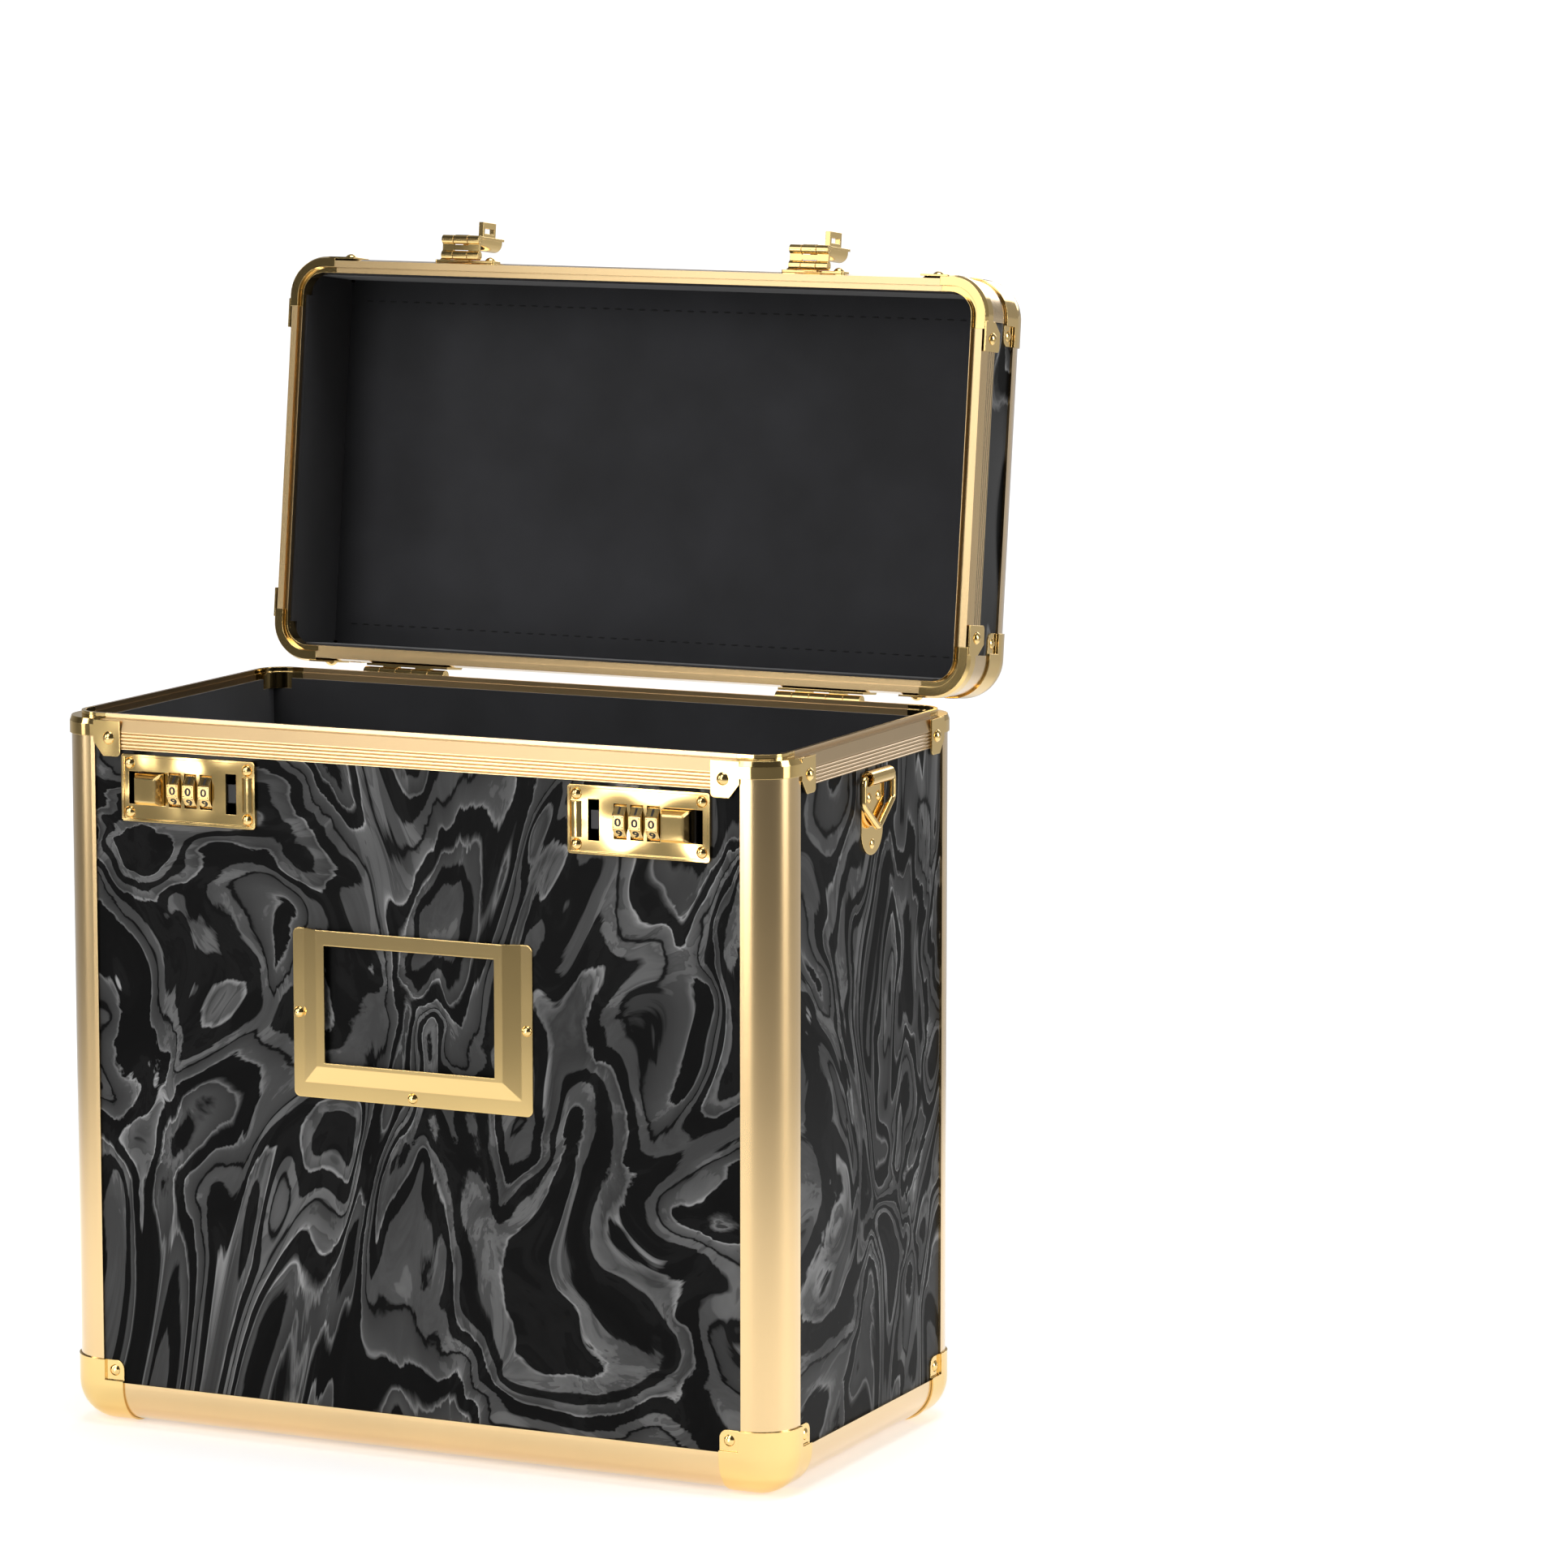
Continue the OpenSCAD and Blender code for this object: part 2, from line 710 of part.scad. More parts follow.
module lock_housing(side) {
    ledge = 1.8;
    color(GREY) at_lock(side) difference() {
        union() {
            difference() {
                box([housing_from, lip_t, -housing_half_h], [housing_to, housing_depth, housing_half_h]);
                box([housing_from + housing_wall, 0, -housing_half_h + housing_wall],
                    [housing_to - housing_wall, housing_depth - housing_wall,
                     housing_half_h - housing_wall]);
            }
            // ledges behind the bolt plate
            for (s = [0, 1]) mirror([0, 0, s])
                box([housing_from, bolt_y + bolt_t + 0.2, housing_half_h - housing_wall - ledge],
                    [housing_to, bolt_y + bolt_t + ledge, housing_half_h - housing_wall / 2]);
            // ribs that carry the axle
            for (x = [axle_from, axle_to - axle_rib_w])
                box([x, bolt_y + bolt_t + gap, -housing_half_h / 3],
                    [x + axle_rib_w, housing_depth - housing_wall / 2, housing_half_h / 3]);
        }
        translate([(axle_from + axle_to) / 2, wheel_depth, 0])
            along_x(axle_to - axle_from + 2 * cut, axle_r + fit);
    }
}

module wheel_axle(side) {
    color(GREY) at_lock(side)
        translate([(axle_from + axle_to) / 2, wheel_depth, 0]) along_x(axle_to - axle_from, axle_r);
}

// A ten-sided number wheel with hubs that space it from its neighbours.
module number_wheel(side, i) {
    hub_r = wheel_depth - bolt_y - bolt_t - gap - 0.1;
    hub_w = wheel_pitch - gap / 2;
    color(POLISHED) at_lock(side)
        translate([wheel_from_slot + i * wheel_pitch, wheel_depth, 0]) difference() {
            union() {
                rotate([0, 90, 0]) cylinder(h = wheel_w, r = wheel_r, center = true, $fn = 10);
                along_x(hub_w, hub_r);
            }
            along_x(hub_w + 2 * cut, axle_r + fit);
        }
}

// The flat bolt plate: a nose across the slot and a window round the wheels.
module lock_bolt(side) {
    nose_tip = -slot_w / 2 + 0.7;
    window_from = wheel_from_slot - wheel_w / 2 - button_travel - 2 * gap;
    window_to = wheel_from_slot + 2 * wheel_pitch + wheel_w / 2 + 2 * gap;
    plate_to = housing_to - housing_wall - button_travel - gap;
    color(GREY) at_lock(side)
        translate([0, bolt_y + bolt_t, 0]) rotate([90, 0, 0]) linear_extrude(bolt_t) difference() {
            union() {
                translate([nose_tip, -nose_h / 2]) square([window_from - nose_tip, nose_h]);
                translate([slot_w / 2 + gap / 2, -bolt_half_h])
                    square([plate_to - slot_w / 2 - gap / 2, 2 * bolt_half_h]);
            }
            translate([window_from, -bolt_window_h])
                square([window_to - window_from, 2 * bolt_window_h]);
        }
}

// The thumb button on the bolt plate: a block with four bevelled sides.
module lock_button(side) {
    top_w = button_w - 3;
    top_h = button_h - 3.5;
    neck = bolt_y;
    color(POLISHED) at_lock(side) translate([button_from + button_w / 2, 0, 0]) {
        box([-button_w / 2, -1, -button_h / 2], [button_w / 2, neck, button_h / 2]);
        hull() {
            box([-button_w / 2, -button_out / 2, -button_h / 2], [button_w / 2, -1, button_h / 2]);
            box([-top_w / 2, -button_out, -top_h / 2], [top_w / 2, -1, top_h / 2]);
        }
    }
}

// ---------------------------------------------------------------- strap rings

module ring_bracket() {
    bore_half = 0.32 * ring_bracket_w;
    at_z = ring_z;
    face = case_w / 2 - lip_t;
    difference() {
        translate([face, 0, at_z]) {
            translate([ring_barrel_r, 0, 0]) rotate([90, 0, 0])
                cylinder(h = ring_bracket_w, r = ring_barrel_r, center = true);
            // web from the barrel down to the sheets
            box([0, -ring_bracket_w / 2, -ring_barrel_r - 1.5],
                [ring_sheet * 2, ring_bracket_w / 2, 0]);
            rotate([90, 0, 90]) {
                linear_extrude(ring_sheet) ring_tongue(ring_back_len);
                linear_extrude(2 * ring_sheet) ring_tongue(ring_front_len);
            }
        }
        translate([ring_out, 0, at_z]) rotate([90, 0, 0]) {
            cylinder(h = ring_bracket_w + cut, r = wire_d / 2 + fit, center = true);
            for (s = [0, 1]) mirror([0, 0, s])
                translate([0, 0, bore_half]) cylinder(h = ring_bracket_w, r = ring_barrel_r - ring_sheet);
        }
    }
}

// A sheet tongue with a rounded end, hanging down from the barrel.
module ring_tongue(length) {
    end_r = ring_bracket_w / 2;
    translate([-end_r, -length + end_r]) square([2 * end_r, length - end_r]);
    translate([0, -length + end_r]) circle(r = end_r);
}

module ring_rivets() {
    face = case_w / 2 - lip_t;
    head_r = 2.4;
    head_h = 1.1;
    low = ring_back_len - 5;
    front_rivet_drop = ring_barrel_r + 6;
    for (y = [-5, 5])
        translate([face + 2 * ring_sheet, y, ring_z - front_rivet_drop]) rotate([0, 90, 0])
            rivet(head_r, head_h);
    translate([face + ring_sheet, 0, ring_z - low]) rotate([0, 90, 0]) rivet(head_r, head_h);
}

module strap_ring_brackets() {
    color(POLISHED) for (s = [left, right]) at_side(s) ring_bracket();
}

// A bent-wire triangle: one half from the middle of its top bar, then mirrored.
module strap_ring(side) {
    half = (ring_w - wire_d) / 2;
    slant_len = (half - ring_bend) / sin(ring_slant);
    color(POLISHED) at_side(side) translate([ring_out, 0, ring_z]) rotate([0, 0, 90])
        for (s = [0, 1]) mirror([s, 0, 0])
            wire_run([[half - ring_bend, 90], [ring_side, ring_slant], [slant_len, 90 - ring_slant]], 0);
}

// Straight along +X, then a bend down, and so on through the list of steps.
module wire_run(steps, i) {
    length = steps[i][0];
    turn = steps[i][1];
    rotate([0, 90, 0]) cylinder(h = length, r = wire_d / 2);
    translate([length, 0, -ring_bend]) {
        rotate([90, 0, 0]) rotate([0, 0, 90 - turn])
            rotate_extrude(angle = turn) translate([ring_bend, 0]) circle(r = wire_d / 2);
        if (i < len(steps) - 1)
            rotate([0, turn, 0]) translate([0, 0, ring_bend]) wire_run(steps, i + 1);
    }
}

// --------------------------------------------------------------------- hinges

// A leaf against the back, stepped from the rim to the panel, seen from the hinge axis.
module hinge_leaf_sheet(z_dir) {
    near = -hinge_back;
    step_z = rim_h + 1;
    t = hasp_t;
    mirror([0, 0, z_dir > 0 ? 0 : 1]) rotate([90, 0, 90])
        linear_extrude(hinge_w, center = true)
            polygon([[near, split_gap / 2 + gap], [near + t, split_gap / 2 + gap],
                     [near + t, step_z + 1], [near - lip_t + t, step_z + 1 + lip_t],
                     [near - lip_t + t, hinge_leaf_h], [near - lip_t, hinge_leaf_h],
                     [near - lip_t, step_z + lip_t - t + 1], [near, step_z - t + 1]]);
}

module hinge_leaf(z_dir, first) {
    width = hinge_w / knuckles;
    hinge_leaf_sheet(z_dir);
    difference() {
        for (i = [first : 2 : knuckles - 1])
            translate([-hinge_w / 2 + (i + 0.5) * width, 0, 0]) {
                along_x(width - knuckle_gap, knuckle_r);
                mirror([0, 0, z_dir > 0 ? 0 : 1])
                    box([-(width - knuckle_gap) / 2, -hinge_back, split_gap / 2 + gap],
                        [(width - knuckle_gap) / 2, -0.5, knuckle_r]);
            }
        along_x(hinge_w + cut, hinge_pin_r + fit);
    }
}

module hinge_base_leaves() {
    color(POLISHED) both_hinges() hinge_leaf(-1, 0);
}

module hinge_pins() {
    color(POLISHED) both_hinges() along_x(hinge_w - knuckle_gap, hinge_pin_r);
}

// Rivets of a base leaf; the lid's leaf mirrors them.
module leaf_rivets() {
    for (x = [-0.34, 0, 0.34] * hinge_w)
        translate([x, -hinge_back - lip_t + hasp_t, -hinge_leaf_h + 5]) rotate([-90, 0, 0])
            rivet(cap_rivet_r, cap_rivet_h);
}

module hinge_lid_leaves() {
    color(POLISHED) lid_pose() both_hinges() hinge_leaf(1, 1);
}

// ------------------------------------------------------------------------ lid

module lid_top_panel() {
    color(BLACK) lid_pose()
        box([-case_w / 2 + panel_in, front_y + panel_in, lid_face - panel_t],
            [case_w / 2 - panel_in, back_y - panel_in, lid_face]);
}

module lid_front_panel() {
    color(BLACK) lid_pose()
        box([-case_w / 2 + panel_in, front_y + lip_t, lid_z + rim_groove_z],
            [case_w / 2 - panel_in, front_y + lip_t + panel_t, lid_top - panel_in]);
}

module lid_back_panel() {
    color(BLACK) lid_pose()
        box([-case_w / 2 + panel_in, back_y - lip_t - panel_t, lid_z + rim_groove_z],
            [case_w / 2 - panel_in, back_y - lip_t, lid_top - panel_in]);
}

module lid_side_panel(side) {
    color(BLACK) lid_pose() at_side(side)
        box([case_w / 2 - lip_t - panel_t, front_y + panel_in, lid_z + rim_groove_z],
            [case_w / 2 - lip_t, back_y - panel_in, lid_top - panel_in]);
}

module lid_corner_posts() {
    color(GOLD) lid_pose() each_edge()
        translate([0, 0, lid_z + strip_h]) linear_extrude(lid_h - strip_h - edge_w) edge_profile();
}

module lid_top_rails() {
    color(GOLD) lid_pose() translate([0, 0, lid_top]) mirror([0, 0, 1]) four_sides(edge_w) edge_profile();
}

module lid_rim_rails() {
    color(GOLD) lid_pose() translate([0, 0, lid_z]) mirror([0, 0, 1])
        four_sides(strip_reach) rim_profile(false);
}

module lid_rim_brackets() {
    color(POLISHED) lid_pose() each_edge()
        translate([0, 0, lid_z]) mirror([0, 0, 1]) rim_bracket(false);
}

module lid_corner_caps() {
    color(POLISHED) lid_pose() each_edge()
        translate([0, 0, lid_top]) mirror([0, 0, 1]) corner_cap();
}

module lid_lining() {
    color(CLOTH) lid_pose() difference() {
        union() {
            lining_sheet(lid_top - inner_lip - lining_t);
            lining_walls(lid_z + strip_h, lid_top - lining_in, inner_lip);
            lining_walls(lid_z + lining_drop, lid_z + strip_h, edge_r);
        }
        each_edge() translate([0, 0, lid_top - lining_cut]) cube(lining_cut);
    }
}

module lid_rivets() {
    color(POLISHED) lid_pose() {
        each_edge() {
            translate([0, 0, lid_z]) mirror([0, 0, 1]) tab_rivets();
            translate([0, 0, lid_top]) mirror([0, 0, 1]) cap_rivets();
        }
        at_hasps() hasp_rivets();
        both_hinges() mirror([0, 0, 1]) leaf_rivets();
    }
}

// --------------------------------------------------------------------- handle

// Side view of a bracket ear: Y along the lid, Z up, the ears lean forwards.
module ear_outline() {
    ear_r = 6.5;
    foot_front = -pin_front + 3;
    foot_back = foot_front + hbracket_foot;
    difference() {
        union() {
            translate([-pin_front, pin_up]) circle(r = ear_r);
            polygon([[foot_front, 0], [foot_back, 0], [foot_back, 2], [-pin_front + ear_r - 0.5, pin_up + 1],
                     [-pin_front - ear_r + 0.6, pin_up - 2]]);
        }
        // hollow of the sloped back
        translate([foot_back + ear_hollow_r / 5, pin_up + ear_hollow_r / 3]) circle(r = ear_hollow_r);
    }
}

module handle_bracket() {
    web_back = -pin_front + hbracket_foot / 2 - 1;
    difference() {
        union() {
            for (s = [0, 1]) mirror([s, 0, 0])
                translate([ear_gap / 2, 0, 0]) rotate([90, 0, 90])
                    linear_extrude((hbracket_w - ear_gap) / 2) ear_outline();
            // base plate and low front web between the ears
            rotate([90, 0, 90]) linear_extrude(ear_gap, center = true)
                polygon([[-pin_front + 3, 0], [web_back, 0], [web_back, 2],
                         [-pin_front + 3, 2], [-pin_front + 1.5, 5.5], [-pin_front - 0.7, 5.5]]);
        }
        translate([0, -pin_front, pin_up]) along_x(hbracket_w + cut, hpin_r + fit);
    }
}

module handle_brackets() {
    color(POLISHED) lid_pose() for (s = [left, right])
        translate([s * handle_x, 0, lid_face]) handle_bracket();
}

module handle_pins() {
    color(POLISHED) lid_pose() for (s = [left, right])
        translate([s * handle_x, pin_y, pin_z]) along_x(hbracket_w - 2, hpin_r);
}

// Drawn upright on its pins; it hangs straight down behind the open lid.
module handle_pose() {
    lid_pose() translate([0, pin_y, pin_z]) rotate([lid_open - 180, 0, 0]) children();
}

// Cross-section of the outer rail: X inwards from the handle's outer edge.
module handle_rail_profile() {
    round_r = 3;
    translate([0, -rail_d / 2]) {
        translate([round_r, 0]) square([rail_t - round_r, rail_d]);
        translate([0, round_r]) square([round_r, rail_d - 2 * round_r]);
        for (y = [round_r, rail_d - round_r]) translate([round_r, y]) circle(r = round_r);
    }
}

module handle_frame() {
    outer = handle_x + arm_w / 2;
    eye_r = 6.5;
    web_d = rail_d - 4;
    web_top_w = 25;
    web_low_h = 20;                                 // straight beside the ears up to here
    color(POLISHED) handle_pose() difference() {
        union() {
            for (s = [0, 1]) mirror([s, 0, 0]) {
                // outer rail: arm, corner, half of the top
                translate([outer, 0, 0]) rotate([0, 0, 180])
                    linear_extrude(handle_h - handle_r) handle_rail_profile();
                translate([outer - handle_r, 0, handle_h - handle_r]) rotate([90, 0, 0])
                    rotate_extrude(angle = 90)
                        translate([handle_r, 0]) mirror([1, 0]) handle_rail_profile();
                translate([0, 0, handle_h]) rotate([0, 90, 0])
                    linear_extrude(outer - handle_r) handle_rail_profile();
                // web inside the arm, wider towards the grip
                rotate([90, 0, 0]) linear_extrude(web_d, center = true) difference() {
                    polygon([[outer - arm_w, 0], [outer - arm_w, web_low_h],
                             [outer - web_top_w, handle_h - rail_t - grip_h],
                             [grip_w / 2, handle_h - rail_t - grip_h], [grip_w / 2, handle_h - rail_t],
                             [outer - rail_t, handle_h - rail_t], [outer - rail_t, 0]]);
                    translate([outer - handle_r, handle_h - handle_r]) difference() {
                        square(handle_r);
                        circle(r = handle_r - rail_t);
                    }
                }
                translate([handle_x, 0, 0]) along_x(arm_w, eye_r);
            }
        }
        for (s = [left, right])
            translate([s * handle_x, 0, 0]) along_x(arm_w + 2 * cut, hpin_r + fit);
    }
}

module handle_grip() {
    round_r = 4;
    color(BLACK) handle_pose()
        translate([-grip_w / 2, -grip_d / 2, handle_h - rail_t - grip_h]) rotate([90, 0, 90])
            linear_extrude(grip_w) rounded_square([grip_d, grip_h], round_r);
}

// ---------------------------------------------------------------------- hasps

module hasp_plate() {
    neck_w = hasp_mid_w - 2 * knuckle_gap;
    plate_z = lid_z + rim_h - 0.5 - hasp_plate_h;
    difference() {
        union() {
            translate([-hasp_plate_w / 2, front_y, plate_z]) rotate([90, 0, 0])
                linear_extrude(hasp_t) rounded_square([hasp_plate_w, hasp_plate_h], 1);
            box([-neck_w / 2, hasp_y, hasp_a], [neck_w / 2, front_y - rim_slope / 2, plate_z + 1]);
            translate([0, hasp_y, hasp_a]) along_x(neck_w, hasp_barrel_r);
        }
        translate([0, hasp_y, hasp_a]) along_x(hasp_w, hasp_pin_r + fit);
    }
}

module hasp_rivets() {
    z = lid_z + rim_h - 0.5 - hasp_plate_h / 2;
    for (x = [-1, 1] * (hasp_plate_w / 2 - cap_rivet_r - 1))
        translate([x, front_y - hasp_t, z]) rotate([90, 0, 0]) rivet(cap_rivet_r, rivet_h);
}

module hasp_plates() {
    color(POLISHED) lid_pose() at_hasps() hasp_plate();
}

module hasp_upper_pins() {
    color(POLISHED) lid_pose() at_hasps() translate([0, hasp_y, hasp_a]) along_x(hasp_w, hasp_pin_r);
}

// The open pose: the link stands straight out of the lid's front.
module link_pose(side) {
    lid_pose() translate([side * slot_x, hasp_y, hasp_a]) rotate([-90, 0, 0]) children();
}

// The open pose: the leaf is folded back over the lid's front.
module leaf_pose(side) {
    link_pose(side) translate([0, 0, -hasp_link]) rotate([-90, 0, 0]) children();
}

// Drawn hanging down from the upper pin at the origin.
module hasp_link_piece(side) {
    web_t = 1.4;
    color(POLISHED) link_pose(side) difference() {
        union() {
            box([-hasp_w / 2, -web_t / 2, -hasp_link], [hasp_w / 2, web_t / 2, 0]);
            for (z = [0, -hasp_link]) translate([0, 0, z]) along_x(hasp_w, hasp_barrel_r);
        }
        for (z = [0, -hasp_link]) translate([0, 0, z]) {
            along_x(hasp_mid_w, notch_r);
            along_x(hasp_w + cut, hasp_pin_r + fit);
        }
    }
}

module hasp_lower_pin(side) {
    color(POLISHED) link_pose(side) translate([0, 0, -hasp_link]) along_x(hasp_w, hasp_pin_r);
}

// Drawn hanging down from the lower pin at the origin, the staple to +Y.
module hasp_leaf(side) {
    neck_w = hasp_mid_w - 2 * knuckle_gap;
    sheet_back = hasp_out - leaf_back;              // plane of the leaf's back
    sheet_front = sheet_back - hasp_t;
    slot_down = hasp_b - lock_z;                    // the slot's centre below this pin
    bar_r = hasp_bar_w / 2;
    bar_back = hasp_bar_out - bar_r + hasp_t / 2;   // the bar ends inside the sheet
    color(POLISHED) leaf_pose(side) difference() {
        union() {
            along_x(neck_w, hasp_barrel_r);
            box([-neck_w / 2, 0, -notch_r - 1], [neck_w / 2, sheet_back, 0]);
            translate([0, sheet_back, -leaf_reach]) rotate([90, 0, 0]) linear_extrude(hasp_t)
                translate([-leaf_w / 2, 0]) rounded_square([leaf_w, leaf_reach - notch_r], 1);
            // half-round bar down the leaf's front
            translate([0, sheet_front - hasp_bar_out + bar_r, -leaf_reach + 1]) {
                difference() {
                    cylinder(h = bar_len, r = bar_r);
                    box([-2 * bar_r, bar_back, -cut], [2 * bar_r, 2 * bar_r, bar_len + cut]);
                }
                box([-bar_r, 0, 0], [bar_r, bar_back, bar_len]);
            }
            // staple that enters the slot
            box([-staple_t / 2, sheet_back - hasp_t / 2, -slot_down - staple_h / 2],
                [staple_t / 2, hasp_out + staple_in, -slot_down + staple_h / 2]);
        }
        along_x(hasp_w, hasp_pin_r + fit);
        // eye of the staple, round the bolt's nose
        box([-staple_t, hasp_out + bolt_y - gap, -slot_down - nose_h / 2 - 0.5],
            [staple_t, hasp_out + bolt_y + bolt_t + gap, -slot_down + nose_h / 2 + 0.5]);
    }
}

// --------------------------------------------------------------------- output

base_front_panel();
base_back_panel();
base_side_panel(left);  // base_left_panel
base_side_panel(right);  // base_right_panel
base_floor_panel();
base_corner_posts();
base_bottom_rails();
base_rim_rails();
base_rim_brackets();
base_corner_caps();
base_lining();
base_rivets();
card_holder();
lock_plate(left);  // lock_plate_left
lock_plate(right);  // lock_plate_right
lock_housing(left);  // lock_housing_left
lock_housing(right);  // lock_housing_right
wheel_axle(left);  // wheel_axle_left
wheel_axle(right);  // wheel_axle_right
lock_bolt(left);  // lock_bolt_left
lock_bolt(right);  // lock_bolt_right
lock_button(left);  // lock_button_left
lock_button(right);  // lock_button_right
number_wheel(left, 0);  // number_wheel_left_1
number_wheel(left, 1);  // number_wheel_left_2
number_wheel(left, 2);  // number_wheel_left_3
number_wheel(right, 0);  // number_wheel_right_1
number_wheel(right, 1);  // number_wheel_right_2
number_wheel(right, 2);  // number_wheel_right_3
strap_ring_brackets();
strap_ring(left);  // strap_ring_left
strap_ring(right);  // strap_ring_right
hinge_base_leaves();
hinge_pins();
lid_top_panel();
lid_front_panel();
lid_back_panel();
lid_side_panel(left);  // lid_left_panel
lid_side_panel(right);  // lid_right_panel
lid_corner_posts();
lid_top_rails();
lid_rim_rails();
lid_rim_brackets();
lid_corner_caps();
lid_lining();
lid_rivets();
hinge_lid_leaves();
handle_brackets();
handle_pins();
handle_frame();
handle_grip();
hasp_plates();
hasp_upper_pins();
hasp_link_piece(left);  // hasp_link_left
hasp_link_piece(right);  // hasp_link_right
hasp_lower_pin(left);  // hasp_lower_pin_left
hasp_lower_pin(right);  // hasp_lower_pin_right
hasp_leaf(left);  // hasp_leaf_left
hasp_leaf(right);  // hasp_leaf_right
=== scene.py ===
"""Looks of the record carrying case: materials, small trim, floor, lights and camera."""
import json
import math

import bmesh
import bpy
from mathutils import Matrix, Vector

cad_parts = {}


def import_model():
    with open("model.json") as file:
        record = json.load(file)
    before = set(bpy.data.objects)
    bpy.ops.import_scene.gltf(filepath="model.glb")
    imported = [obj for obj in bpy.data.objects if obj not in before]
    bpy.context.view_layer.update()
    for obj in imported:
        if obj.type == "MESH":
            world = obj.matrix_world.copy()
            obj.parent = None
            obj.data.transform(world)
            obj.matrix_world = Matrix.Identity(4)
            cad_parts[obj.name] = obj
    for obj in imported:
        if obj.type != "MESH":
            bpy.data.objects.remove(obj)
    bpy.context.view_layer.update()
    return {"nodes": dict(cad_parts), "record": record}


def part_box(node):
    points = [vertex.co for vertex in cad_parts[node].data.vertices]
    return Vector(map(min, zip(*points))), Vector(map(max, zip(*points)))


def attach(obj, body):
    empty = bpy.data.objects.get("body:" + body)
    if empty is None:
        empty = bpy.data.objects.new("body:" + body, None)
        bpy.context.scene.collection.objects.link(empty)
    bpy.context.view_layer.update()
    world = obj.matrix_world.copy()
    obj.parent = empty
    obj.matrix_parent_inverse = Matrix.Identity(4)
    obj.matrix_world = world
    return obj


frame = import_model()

MM = 0.001

# ------------------------------------------------------------------- colours
GOLD_SATIN = (0.80, 0.565, 0.275)
# darker copy of the satin gold for the rim rails, which have the posts' finish: the darkening is
# painted shade
GOLD_RAIL_PAINTED_SHADE = (0.72, 0.50, 0.25)
GOLD_BRIGHT = (0.90, 0.64, 0.26)
STEEL = (0.035, 0.034, 0.034)
RUBBER = (0.030, 0.030, 0.033)
CLOTH = (0.012, 0.012, 0.014)
# black thread, made darker than the cloth: painted shade of the stitch holes
THREAD_AND_HOLE_SHADE = (0.006, 0.006, 0.007)
INK = (0.015, 0.012, 0.008)
FLOOR = (0.93, 0.93, 0.93)
WHITE = (1, 1, 1, 1)


def shade(colour, share):
    """The colour, darker or lighter by a share."""
    return tuple(share * part for part in colour)


# --------------------------------------------------------------------- nodes
class Nodes:
    """The shader nodes of a material or a world, with short ways to add and join them."""

    def __init__(self, tree, shader):
        self.tree = tree
        self.shader = tree.nodes[shader]

    def add(self, kind, inputs=None, **settings):
        """A new node; its inputs are numbers, colours or the sockets that feed them."""
        node = self.tree.nodes.new("ShaderNode" + kind)
        for key, value in settings.items():
            setattr(node, key, value)
        for key, value in (inputs or {}).items():
            socket = node.inputs[key]
            if isinstance(value, bpy.types.NodeSocket):
                self.tree.links.new(value, socket)
            else:
                socket.default_value = value
        return node

    def link(self, value, socket):
        """Feeds a socket of the shader."""
        self.tree.links.new(value, self.shader.inputs[socket])

    def math(self, operation, *values):
        """The result of an operation on numbers."""
        return self.add("Math", dict(enumerate(values)), operation=operation).outputs["Value"]

    def span(self, value, low, high, start=0.0, end=1.0):
        """A value that goes from start to end, spread from low to high."""
        limits = {"From Min": start, "From Max": end, "To Min": low, "To Max": high}
        return self.add("MapRange", {"Value": value, **limits}).outputs["Result"]


class Look(Nodes):
    """A material whose nodes take their place from the object's own coordinates."""

    def __init__(self, name, **sockets):
        self.material = bpy.data.materials.new(name)
        self.material.use_nodes = True
        super().__init__(self.material.node_tree, "Principled BSDF")
        for socket, value in sockets.items():
            self.shader.inputs[socket.replace("_", " ")].default_value = value
        self.place = self.add("TexCoord").outputs["Object"]

    def noise(self, scale, detail=2.0, roughness=0.5, distortion=0.0, place=None, output="Fac"):
        """A soft noise; scale is about its grains to the metre."""
        inputs = {"Vector": place or self.place, "Scale": scale, "Detail": detail}
        grain = {"Roughness": roughness, "Distortion": distortion}
        return self.add("TexNoise", {**inputs, **grain}).outputs[output]

    def warp(self, place, scale, amount):
        """The place pushed about by a noise, as stirred paint is."""
        drift = self.noise(scale, detail=1.0, place=place, output="Color")
        centred = self.add("VectorMath", {0: drift, 1: (0.5, 0.5, 0.5)}, operation="SUBTRACT")
        push = {0: centred.outputs["Vector"], "Scale": amount}
        scaled = self.add("VectorMath", push, operation="SCALE")
        moved = self.add("VectorMath", {0: place, 1: scaled.outputs["Vector"]}, operation="ADD")
        return moved.outputs["Vector"]

    def ramp(self, value, stops):
        """A colour ramp through (position, grey or colour) stops."""
        node = self.add("ValToRGB", {"Fac": value})
        band = node.color_ramp
        while len(band.elements) < len(stops):
            band.elements.new(0.5)
        for element, (position, colour) in zip(band.elements, stops):
            parts = colour if isinstance(colour, tuple) else (colour, colour, colour)
            element.position = position
            element.color = (*parts, 1)
        return node.outputs["Color"]

    def multiply(self, colour, other):
        """One colour times another; a Mix node has sockets of one name for each kind of value."""
        node = self.add("Mix", data_type="RGBA", blend_type="MULTIPLY")
        node.inputs["Factor"].default_value = 1.0
        first, second = [socket for socket in node.inputs if socket.type == "RGBA"]
        self.tree.links.new(colour, first)
        self.tree.links.new(other, second)
        return next(socket for socket in node.outputs if socket.type == "RGBA")

    def tint(self, value, first, last, limits):
        """The base colour, which goes from first to last between two limits of a value."""
        start, end = limits
        self.link(self.ramp(value, [(start, first), (end, last)]), "Base Color")

    def bump(self, height, distance, strength, normal=None):
        """Relief of the surface, on top of a normal where one is given."""
        inputs = {"Height": height, "Distance": distance, "Strength": strength}
        if normal:
            inputs["Normal"] = normal
        self.link(self.add("Bump", inputs).outputs["Normal"], "Normal")


# ----------------------------------------------------------------- materials
LACQUER_ROUGH = 0.16
BEVEL_SAMPLES = 4


